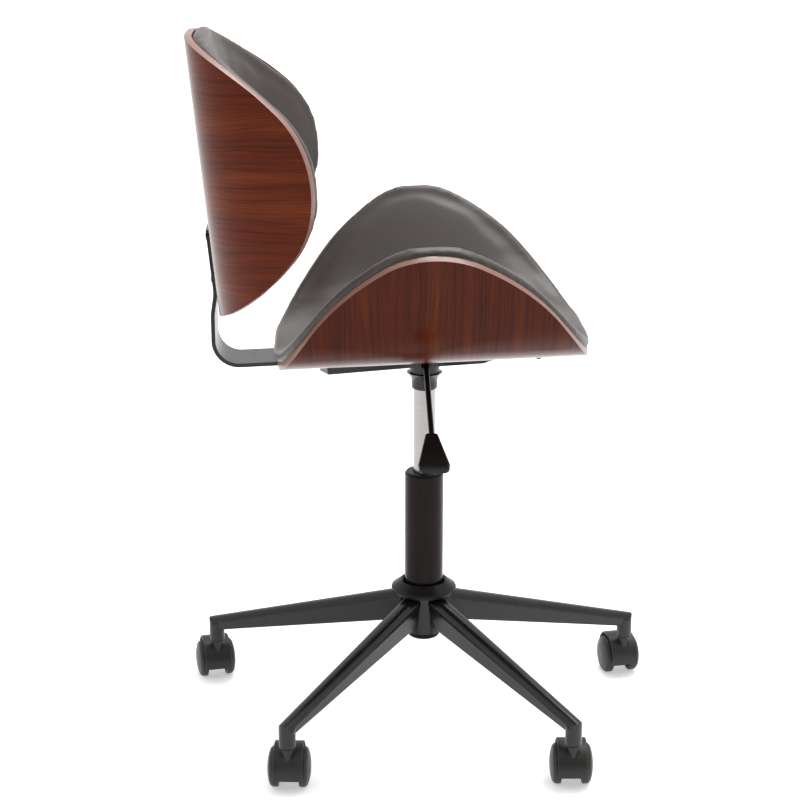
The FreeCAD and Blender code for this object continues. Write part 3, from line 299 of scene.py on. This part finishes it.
def dress_rim(mesh, mould, ridge, folds):
    """Stand the pad's side up into a soft ridge, and lay in the folds of its cover."""
    spots = [mould.to_sheet(vert.co) for vert in mesh.vertices]
    half_way, roll = PAD_BASE + PAD_EDGE / 2, PAD_EDGE / 2
    rim = [(spot.x, spot.y) for spot in spots if abs(spot.z - half_way) < 2.2 * MM]
    tree = KDTree(len(rim))
    for number, (s, y) in enumerate(rim):
        tree.insert((s, y, 0), number)
    tree.balance()
    moves = []
    for vert, spot in zip(mesh.vertices, spots):
        if spot.z <= half_way:
            moves.append(Vector((0, 0, 0)))
            continue
        near, _, inset = tree.find((spot.x, spot.y, 0))
        if inset < roll:
            a, b = (roll - inset) / roll, min((spot.z - half_way) / roll, 1.0)
            square = (a ** 3.2 + b ** 3.2) ** (1 / 3.2)
            push = (math.hypot(a, b) / square - 1) * roll if square > 1e-4 else 0
            out = Vector((spot.x - near.x, spot.y - near.y, 0))
            out = -out.normalized() if out.length > 1e-6 else Vector((0, 0, 0))
            spot += out * push * a * 0.8
            spot.z += push * b * 0.8
        spot.z += ridge * math.exp(-((inset - 5.0 * MM) / (3.6 * MM)) ** 2)
        spot.z -= 0.7 * ridge * math.exp(-((inset - 16.0 * MM) / (7.0 * MM)) ** 2)
        for s, y, along, across, turn, depth in folds:
            ds, dy = spot.x - s, spot.y - y
            cos, sin = math.cos(math.radians(turn)), math.sin(math.radians(turn))
            u, v = (ds * cos + dy * sin) / along, (dy * cos - ds * sin) / across
            if abs(u) < 3 and abs(v) < 4:
                spot.z += depth * math.exp(-u * u) * (math.exp(-v * v) - 0.6 * math.exp(-((v - 1.6) ** 2)))
        moves.append(mould.from_sheet(spot) - vert.co)
    for vert, move in zip(mesh.vertices, evened(mesh, moves, 3)):
        vert.co += move
    mesh.update()


# Shader node groups: grain, pebbles and rubbed places

class Nodes:
    """A small helper over a node tree."""

    def __init__(self, tree):
        self.tree = tree

    def add(self, kind, inputs=None, **options):
        node = self.tree.nodes.new(kind)
        for name, value in options.items():
            setattr(node, name, value)
        for name, value in (inputs or {}).items():
            if isinstance(value, bpy.types.NodeSocket):
                self.tree.links.new(value, node.inputs[name])
            else:
                node.inputs[name].default_value = value
        return node

    def math(self, operation, first, second=0.0, clamp=False):
        node = self.add("ShaderNodeMath", {0: first, 1: second}, operation=operation, use_clamp=clamp)
        return node.outputs[0]

    def mix(self, factor, first, second, blend="MIX"):
        node = self.add("ShaderNodeMix", {"Factor": factor}, data_type="RGBA", blend_type=blend)
        for slot, value in ((6, first), (7, second)):
            if isinstance(value, bpy.types.NodeSocket):
                self.tree.links.new(value, node.inputs[slot])
            else:
                node.inputs[slot].default_value = value
        return node.outputs[2]

    def ramp(self, factor, low, high, dark=0.0, light=1.0):
        node = self.add("ShaderNodeMapRange", {"Value": factor, "From Min": low, "From Max": high,
                                               "To Min": dark, "To Max": light})
        node.interpolation_type = "SMOOTHSTEP"
        return node.outputs[0]

    def noise(self, vector, scale, detail=4.0, rough=0.5, twist=0.0):
        node = self.add("ShaderNodeTexNoise", {"Vector": vector, "Scale": scale, "Detail": detail,
                                               "Roughness": rough, "Distortion": twist})
        return node.outputs["Fac"]

    def stretched(self, vector, scale, shift=(0, 0, 0)):
        node = self.add("ShaderNodeMapping", {"Vector": vector, "Scale": scale, "Location": shift})
        return node.outputs["Vector"]


def shared_group(name, inputs, outputs, build):
    """A node group made once, with named sockets."""
    if name in bpy.data.node_groups:
        return bpy.data.node_groups[name]
    group = bpy.data.node_groups.new(name, "ShaderNodeTree")
    for text, kind, value in inputs:
        socket = group.interface.new_socket(name=text, in_out="INPUT", socket_type=kind)
        if value is not None:
            socket.default_value = value
    for text, kind in outputs:
        group.interface.new_socket(name=text, in_out="OUTPUT", socket_type=kind)
    nodes = Nodes(group)
    source, sink = nodes.add("NodeGroupInput"), nodes.add("NodeGroupOutput")
    for text, value in build(nodes, source.outputs).items():
        group.links.new(value, sink.inputs[text])
    return group


def veneer_group():
    """Streaked veneer along the first map axis: colour, gloss and height."""
    def build(nodes, given):
        vector = given["Vector"]
        wander = nodes.noise(nodes.stretched(vector, (3.0, 9.0, 1)), 1.0, 3.0, 0.5)
        sway = nodes.math("MULTIPLY", nodes.math("SUBTRACT", wander, 0.5), 0.030)
        split = nodes.add("ShaderNodeSeparateXYZ", {"Vector": vector})
        line = nodes.math("ADD", split.outputs["Y"], sway)
        bent = nodes.add("ShaderNodeCombineXYZ", {"X": split.outputs["X"], "Y": line}).outputs[0]
        bands = nodes.noise(nodes.stretched(bent, (1.4, 34.0, 1)), 1.0, 3.0, 0.55)
        streaks = nodes.noise(nodes.stretched(bent, (2.6, 230.0, 1), (3.1, 0, 0)), 1.0, 5.0, 0.6)
        fine = nodes.noise(nodes.stretched(bent, (11.0, 1100.0, 1), (7.7, 0, 0)), 1.0, 3.0, 0.6)
        pores = nodes.noise(nodes.stretched(bent, (60.0, 2600.0, 1), (1.3, 0, 0)), 1.0, 2.0, 0.5)
        dark = nodes.math("MULTIPLY", nodes.ramp(streaks, 0.46, 0.64), nodes.ramp(bands, 0.28, 0.60, 0.25, 1.0))
        pale = nodes.math("MULTIPLY", nodes.ramp(bands, 0.52, 0.30), nodes.ramp(fine, 0.25, 0.75, 0.35, 1.0))
        body = nodes.mix(nodes.math("MULTIPLY", pale, 0.75), given["Heart"], given["Glow"])
        body = nodes.mix(nodes.math("MULTIPLY", dark, 0.55), body, given["Streak"])
        vein = nodes.ramp(fine, 0.36, 0.66, 0.76, 1.24)
        body = nodes.mix(1.0, body, nodes.add("ShaderNodeCombineColor", {0: vein, 1: vein, 2: vein}).outputs[0],
                         "MULTIPLY")
        pit = nodes.ramp(pores, 0.60, 0.72)
        body = nodes.mix(nodes.math("MULTIPLY", pit, 0.40), body, given["Streak"])
        gloss = nodes.math("ADD", nodes.math("MULTIPLY", pit, 0.12), 0.0)
        height = nodes.math("SUBTRACT", nodes.math("MULTIPLY", fine, 0.3), nodes.math("MULTIPLY", pit, 0.7))
        return {"Color": body, "Dull": gloss, "Height": height}

    colour_in = "NodeSocketColor"
    return shared_group("veneer", [("Vector", "NodeSocketVector", None), ("Heart", colour_in, (1, 1, 1, 1)),
                                   ("Streak", colour_in, (1, 1, 1, 1)), ("Glow", colour_in, (1, 1, 1, 1))],
                        [("Color", colour_in), ("Dull", "NodeSocketFloat"), ("Height", "NodeSocketFloat")],
                        build)


def speckle_group():
    """Fine texture of powder coat and moulded plastic, with faint rubbed patches."""
    def build(nodes, given):
        vector = nodes.add("ShaderNodeVectorMath", {0: given["Vector"]}, operation="SCALE")
        nodes.tree.links.new(given["Scale"], vector.inputs["Scale"])
        grain = nodes.noise(vector.outputs[0], 1.0, 3.0, 0.6)
        patches = nodes.noise(given["Vector"], 22.0, 4.0, 0.55, 0.4)
        rubbed = nodes.ramp(patches, 0.48, 0.72)
        return {"Height": grain, "Rubbed": rubbed}

    return shared_group("speckle", [("Vector", "NodeSocketVector", None), ("Scale", "NodeSocketFloat", 900.0)],
                        [("Height", "NodeSocketFloat"), ("Rubbed", "NodeSocketFloat")], build)


def pebble_group():
    """Pebbled cover: rounded grains parted by fine valleys."""
    def build(nodes, given):
        scale = nodes.math("DIVIDE", 1.0, given["Size"])
        vector = nodes.add("ShaderNodeVectorMath", {0: given["Vector"]}, operation="SCALE")
        nodes.tree.links.new(scale, vector.inputs["Scale"])
        warp = nodes.add("ShaderNodeTexNoise", {"Vector": vector.outputs[0], "Scale": 0.7, "Detail": 2.0})
        push = nodes.add("ShaderNodeVectorMath", {0: vector.outputs[0], 1: warp.outputs["Color"]},
                         operation="ADD")
        cells = nodes.add("ShaderNodeTexVoronoi", {"Vector": push.outputs[0], "Scale": 1.0},
                          feature="DISTANCE_TO_EDGE")
        grain = nodes.ramp(cells.outputs["Distance"], 0.0, 0.34)
        cloud = nodes.noise(given["Vector"], 9.0, 4.0, 0.5, 0.3)
        return {"Height": grain, "Cloud": nodes.ramp(cloud, 0.35, 0.70)}

    return shared_group("pebbles", [("Vector", "NodeSocketVector", None), ("Size", "NodeSocketFloat", 0.0014)],
                        [("Height", "NodeSocketFloat"), ("Cloud", "NodeSocketFloat")], build)


def material(name, **sockets):
    """An empty material with its Principled shader; plain numbers go on the shader's own sockets."""
    made = bpy.data.materials.new(name)
    made.use_nodes = True
    nodes = Nodes(made.node_tree)
    made.node_tree.nodes.clear()
    shader = nodes.add("ShaderNodeBsdfPrincipled", {key.replace("_", " "): value for key, value in
                                                    sockets.items()})
    out = nodes.add("ShaderNodeOutputMaterial")
    made.node_tree.links.new(shader.outputs[0], out.inputs[0])
    return made, nodes, shader


def wired(nodes, shader, **links):
    for name, socket in links.items():
        nodes.tree.links.new(socket, shader.inputs[name.replace("_", " ")])


def bumped(nodes, height, strength, distance):
    return nodes.add("ShaderNodeBump", {"Height": height, "Strength": strength, "Distance": distance}).outputs[0]


def fill_group(nodes, group, inputs):
    node = nodes.tree.nodes.new("ShaderNodeGroup")
    node.node_tree = group
    for name, value in inputs.items():
        if isinstance(value, bpy.types.NodeSocket):
            nodes.tree.links.new(value, node.inputs[name])
        else:
            node.inputs[name].default_value = value
    return node


def rgba(value):
    return (*value, 1.0)


def toned(value, tone):
    return rgba([part * tone for part in value])


def veneer_material(name, wood, shift, tone):
    made, nodes, shader = material(name, Coat_Weight=1.0, Coat_IOR=1.16, Coat_Roughness=0.20,
                                   Specular_IOR_Level=0.03)
    coords = nodes.add("ShaderNodeUVMap", uv_map="bend").outputs[0]
    place = nodes.stretched(coords, (1, 1, 1), shift)
    # tone scales heartwood, streaks and light bands alike; a tone below 1 is painted shade, a darker copy of the
    # same veneer
    grain = fill_group(nodes, veneer_group(), {"Vector": place, "Heart": toned(wood.heart, tone),
                                               "Streak": toned(wood.streak, tone),
                                               "Glow": toned(wood.glow, tone)})
    rough = nodes.math("ADD", grain.outputs["Dull"], 0.36)
    wired(nodes, shader, Base_Color=grain.outputs["Color"], Roughness=rough,
          Normal=bumped(nodes, grain.outputs["Height"], 0.12, 0.2 * MM))
    return made


def edge_material(wood):
    """Sanded ply edge: seven plies, alternately along and across the grain."""
    made, nodes, shader = material("ply edge", Coat_Weight=0.5, Coat_Roughness=0.25)
    coords = nodes.add("ShaderNodeUVMap", uv_map="bend").outputs[0]
    split = nodes.add("ShaderNodeSeparateXYZ", {"Vector": coords})
    turns = nodes.math("MULTIPLY", split.outputs["Y"], 2 * math.pi * 3.5 / PLY)
    wave = nodes.math("SINE", turns)
    plies = nodes.ramp(wave, -0.35, 0.35)
    fibres = nodes.noise(nodes.stretched(coords, (900.0, 2200.0, 1)), 1.0, 3.0, 0.6)
    ends = nodes.noise(nodes.stretched(coords, (2600.0, 500.0, 1)), 1.0, 2.0, 0.6)
    tone = nodes.mix(plies, fibres, ends)
    pale = rgba(wood.edge)
    deep = rgba([part * 0.62 for part in wood.edge])
    body = nodes.mix(nodes.math("MULTIPLY", plies, 0.55), pale, deep)
    body = nodes.mix(nodes.math("MULTIPLY", nodes.ramp(tone, 0.45, 0.75), 0.4), body, rgba(wood.streak))
    wired(nodes, shader, Base_Color=body, Roughness=nodes.ramp(tone, 0.2, 0.8, 0.38, 0.55),
          Normal=bumped(nodes, tone, 0.15, 0.15 * MM))
    return made


def cover_material(pads):
    made, nodes, shader = material("grey cover", Specular_IOR_Level=0.55, Sheen_Weight=0.22,
                                   Sheen_Roughness=0.40)
    coords = nodes.add("ShaderNodeTexCoord").outputs["Object"]
    skin = fill_group(nodes, pebble_group(), {"Vector": coords, "Size": pads.grain})
    body = nodes.mix(nodes.math("MULTIPLY", skin.outputs["Cloud"], 0.6), rgba(pads.cover), rgba(pads.shade))
    rough = nodes.ramp(skin.outputs["Cloud"], 0.0, 1.0, 0.46, 0.40)
    wired(nodes, shader, Base_Color=body, Roughness=rough,
          Normal=bumped(nodes, skin.outputs["Height"], 0.22, 0.25 * MM))
    return made


def coated(name, tint, rough, bump, scale, lift=0.25, shine=0.35):
    """Painted steel, lacquer or plastic: even colour, fine texture, slightly rubbed patches."""
    made, nodes, shader = material(name, Specular_IOR_Level=shine)
    coords = nodes.add("ShaderNodeTexCoord").outputs["Object"]
    skin = fill_group(nodes, speckle_group(), {"Vector": coords, "Scale": scale})
    paler = rgba([part * (1 + lift) + 0.001 for part in tint])
    body = nodes.mix(skin.outputs["Rubbed"], rgba(tint), paler)
    gloss = nodes.ramp(skin.outputs["Rubbed"], 0.0, 1.0, rough, rough + 0.07)
    wired(nodes, shader, Base_Color=body, Roughness=gloss,
          Normal=bumped(nodes, skin.outputs["Height"], bump, 0.1 * MM))
    return made


def turned_steel(name, tint, rough, stretch, lines):
    """Bright steel with fine lines left by turning, grinding or drawing."""
    made, nodes, shader = material(name, Metallic=1.0, Anisotropic=0.3)
    coords = nodes.add("ShaderNodeTexCoord").outputs["Object"]
    marks = nodes.noise(nodes.stretched(coords, stretch), 1.0, 4.0, 0.6)
    cloud = nodes.noise(coords, 40.0, 3.0, 0.5)
    darker = rgba([part * 0.72 for part in tint])
    body = nodes.mix(nodes.math("MULTIPLY", nodes.ramp(marks, 0.35, 0.65), lines), rgba(tint), darker)
    gloss = nodes.ramp(nodes.math("ADD", marks, nodes.math("MULTIPLY", cloud, 0.4)), 0.4, 1.0, rough,
                       rough + 0.16)
    wired(nodes, shader, Base_Color=body, Roughness=gloss, Normal=bumped(nodes, marks, 0.08, 0.05 * MM))
    return made


def finish_nodes(names, made):
    """Give frame nodes a finish in place of their plain one."""
    for name in names:
        item = NODES[name]
        item.data.materials.clear()
        item.data.materials.append(made)


def matching(*starts):
    return [name for name in NODES if name.startswith(starts)]


# Operators, one for each piece or group of pieces

class CHAIR_OT_shells(bpy.types.Operator):
    """Dress the two moulded shells in veneer, with their ply edge showing"""
    bl_idname = "chair.shells"
    bl_label = "Moulded shells"

    def execute(self, context):
        wood = context.scene.chair_wood
        edge = edge_material(wood)
        for name, node, mould, shift, tone, spread in (
                # the seat's veneer is the back's at 0.66 tone: painted shade for the seat shell, whose wood faces
                # down and away from the light
                ("seat_wood", "seat_shell", SEAT, (0.31, 0.17, 0), 0.66, (-2.0 * MM, 5.0 * MM)),
                ("back_wood", "back_shell", BACK, (1.90, 0.74, 0), 1.0, (0, 0))):
            item = wood_piece(name, node, mould, wood.arris, spread)
            parts = [face.material_index for face in item.data.polygons]
            item.data.materials.clear()
            item.data.materials.append(veneer_material(name + " veneer", wood, shift, tone))
            item.data.materials.append(edge)
            item.data.polygons.foreach_set("material_index", parts)
            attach(item, "seat")
        return {"FINISHED"}


SEAT_FOLDS = [
    # along the wood, front to rear, length, width, heading in degrees, height
    (-0.185, 0.130, 0.060, 0.014, 28, 1.0 * MM),
    (-0.150, 0.158, 0.050, 0.012, 12, 0.8 * MM),
    (-0.205, 0.095, 0.045, 0.013, 40, 0.7 * MM),
    (0.188, 0.128, 0.055, 0.014, -30, 0.9 * MM),
    (0.160, 0.152, 0.045, 0.012, -15, 0.7 * MM),
    (-0.190, -0.125, 0.045, 0.014, -30, 0.5 * MM),
]
BACK_FOLDS = [
    (-0.165, 0.115, 0.040, 0.012, -30, 0.7 * MM),
    (0.165, 0.115, 0.040, 0.012, 30, 0.7 * MM),
    (-0.160, -0.105, 0.045, 0.012, 32, 0.5 * MM),
    (0.160, -0.105, 0.045, 0.012, -32, 0.5 * MM),
]


class CHAIR_OT_pads(bpy.types.Operator):
    """Make the seat's and the back's upholstered pads"""
    bl_idname = "chair.pads"
    bl_label = "Upholstered pads"

    def execute(self, context):
        pads = context.scene.chair_pads
        cover = cover_material(pads)
        for name, node, mould, folds in (("seat_cushion", "seat_pad", SEAT, SEAT_FOLDS),
                                         ("back_cushion", "back_pad", BACK, BACK_FOLDS)):
            item = stuffed_piece(name, node, mould, pads, folds)
            item.data.materials.clear()
            item.data.materials.append(cover)
            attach(item, "seat")
        return {"FINISHED"}


class CHAIR_OT_steelwork(bpy.types.Operator):
    """Finish the painted legs, hub, column, bracket, plate and lever"""
    bl_idname = "chair.steelwork"
    bl_label = "Painted steelwork"

    def execute(self, context):
        metal = context.scene.chair_metal
        paint = coated("black paint", metal.paint, 0.25, 0.02, 1400.0, 0.10, 0.42)
        finish_nodes(matching("leg_") + ["hub_tube", "back_bracket", "mechanism_plate", "cylinder_socket"], paint)
        finish_nodes(["outer_column"], coated("column lacquer", metal.column, 0.24, 0.03, 1100.0, shine=0.10))
        finish_nodes(["lever_rod", "seat_bolts", "bracket_bolts", "front_screws", "back_screws"],
                     coated("black oxide", metal.paint, 0.36, 0.05, 1800.0, shine=0.25))
        return {"FINISHED"}


class CHAIR_OT_lift(bpy.types.Operator):
    """Finish the gas cylinder and the bright inner parts"""
    bl_idname = "chair.lift"
    bl_label = "Gas lift"

    def execute(self, context):
        metal = context.scene.chair_metal
        finish_nodes(["gas_cylinder", "release_pin"],
                     turned_steel("brushed cylinder", metal.chrome, 0.20, (60.0, 60.0, 2500.0), 0.25))
        finish_nodes(["piston_rod", "lower_bearing_washer", "retaining_clip", "bearing_balls", "lever_pivot",
                      "seat_tee_nuts", "back_tee_nuts", "caster_stems"]
                     + [name for name in NODES if name.endswith("_axle")],
                     turned_steel("zinc plate", metal.zinc, 0.30, (300.0, 300.0, 1500.0), 0.4))
        finish_nodes(["hub_cover", "guide_bushing", "lever_paddle"],
                     coated("black plastic", metal.plastic, 0.34, 0.10, 1500.0, shine=0.18))
        return {"FINISHED"}


class CHAIR_OT_casters(bpy.types.Operator):
    """Finish the casters' nylon hoods, wheels and sleeves"""
    bl_idname = "chair.casters"
    bl_label = "Casters"

    def execute(self, context):
        metal = context.scene.chair_metal
        nylon = coated("caster nylon", metal.nylon, 0.40, 0.08, 1200.0, shine=0.26)
        names = [name for name in NODES if name.endswith("_hood") or "_wheel_" in name]
        finish_nodes(names + ["caster_sleeves", "ball_cage", "piston"], nylon)
        return {"FINISHED"}


class CHAIR_OT_stage(bpy.types.Operator):
    """Set the floor, the soft light and the camera"""
    bl_idname = "chair.stage"
    bl_label = "Stage"

    def execute(self, context):
        stage = context.scene.chair_stage
        shape = bmesh.new()
        bmesh.ops.create_grid(shape, x_segments=4, y_segments=4, size=45.0)
        mesh = bpy.data.meshes.new("floor")
        shape.to_mesh(mesh)
        shape.free()
        floor = link("floor", mesh)
        made, nodes, shader = material("pale floor", Roughness=0.9, Specular_IOR_Level=0.1,
                                       Emission_Color=(1, 1, 1, 1), Emission_Strength=0.42)
        coords = nodes.add("ShaderNodeTexCoord").outputs["Object"]
        dust = nodes.ramp(nodes.noise(coords, 3.0, 3.0, 0.5), 0.3, 0.7)
        body = nodes.mix(dust, rgba(stage.floor), rgba([part * 0.995 for part in stage.floor]))
        wired(nodes, shader, Base_Color=body)
        mesh.materials.append(made)

        shape = bmesh.new()
        bmesh.ops.create_grid(shape, x_segments=1, y_segments=1, size=1.0)
        turn = Matrix.Rotation(math.radians(90), 4, "Y")
        bmesh.ops.transform(shape, verts=shape.verts, matrix=Matrix.Translation((-4.2, 0, 1.6)) @ turn
                            @ Matrix.Diagonal((2.4, 3.2, 1, 1)))
        mesh = bpy.data.meshes.new("dark_card")
        shape.to_mesh(mesh)
        shape.free()
        card = link("dark_card", mesh)
        made, nodes, shader = material("dark card", Base_Color=(0.02, 0.02, 0.02, 1), Roughness=1.0)
        mesh.materials.append(made)

        world = bpy.data.worlds.new("white surround")
        context.scene.world = world
        world.use_nodes = True
        sky = world.node_tree.nodes["Background"]
        sky.inputs["Color"].default_value = (1.0, 1.0, 1.0, 1.0)
        sky.inputs["Strength"].default_value = stage.sky

        lamp = bpy.data.lights.new("key", "AREA")
        lamp.shape, lamp.size, lamp.size_y, lamp.energy = "RECTANGLE", 2.2, 1.6, stage.key
        key = bpy.data.objects.new("key", lamp)
        context.scene.collection.objects.link(key)
        key.location = Vector((0.5, -0.6, 3.0))
        aim = Vector((0, 0, 0.55)) - key.location
        key.rotation_euler = aim.to_track_quat("-Z", "Y").to_euler()

        lens = bpy.data.cameras.new("camera")
        lens.lens, lens.sensor_width = 84.75, 36.0
        lens.clip_start, lens.clip_end = 0.05, 200.0
        camera = bpy.data.objects.new("camera", lens)
        context.scene.collection.objects.link(camera)
        camera.location = Vector((-2.3092, 0.1200, 1.1036))
        pitch = 0.2844
        look = Vector((0.99926 * math.cos(pitch), -0.03839 * math.cos(pitch), -math.sin(pitch)))
        camera.rotation_euler = look.to_track_quat("-Z", "Y").to_euler()
        context.scene.camera = camera
        context.scene.view_settings.view_transform = "Standard"
        return {"FINISHED"}


OPERATORS = (CHAIR_OT_shells, CHAIR_OT_pads, CHAIR_OT_steelwork, CHAIR_OT_lift, CHAIR_OT_casters,
             CHAIR_OT_stage)
GROUPS = {"chair_wood": ChairWood, "chair_pads": ChairPads, "chair_metal": ChairMetal,
          "chair_stage": ChairStage}


class CHAIR_PT_panel(bpy.types.Panel):
    """Sizes and colours of the chair, and the buttons that make its pieces"""
    bl_idname = "CHAIR_PT_panel"
    bl_label = "Swivel chair"
    bl_space_type = "VIEW_3D"
    bl_region_type = "UI"
    bl_category = "Chair"

    def draw(self, context):
        for name, group in GROUPS.items():
            box = self.layout.box()
            for prop in group.__annotations__:
                box.prop(getattr(context.scene, name), prop)
        for operator in OPERATORS:
            self.layout.operator(operator.bl_idname)


def register():
    for group in GROUPS.values():
        bpy.utils.register_class(group)
    for operator in OPERATORS + (CHAIR_PT_panel,):
        bpy.utils.register_class(operator)
    for name, group in GROUPS.items():
        setattr(bpy.types.Scene, name, bpy.props.PointerProperty(type=group))


def unregister():
    for name in GROUPS:
        delattr(bpy.types.Scene, name)
    for operator in reversed(OPERATORS + (CHAIR_PT_panel,)):
        bpy.utils.unregister_class(operator)
    for group in reversed(list(GROUPS.values())):
        bpy.utils.unregister_class(group)


def main():
    register()
    for operator in OPERATORS:
        area, name = operator.bl_idname.split(".")
        getattr(getattr(bpy.ops, area), name)()


if __name__ == "__main__":
    main()
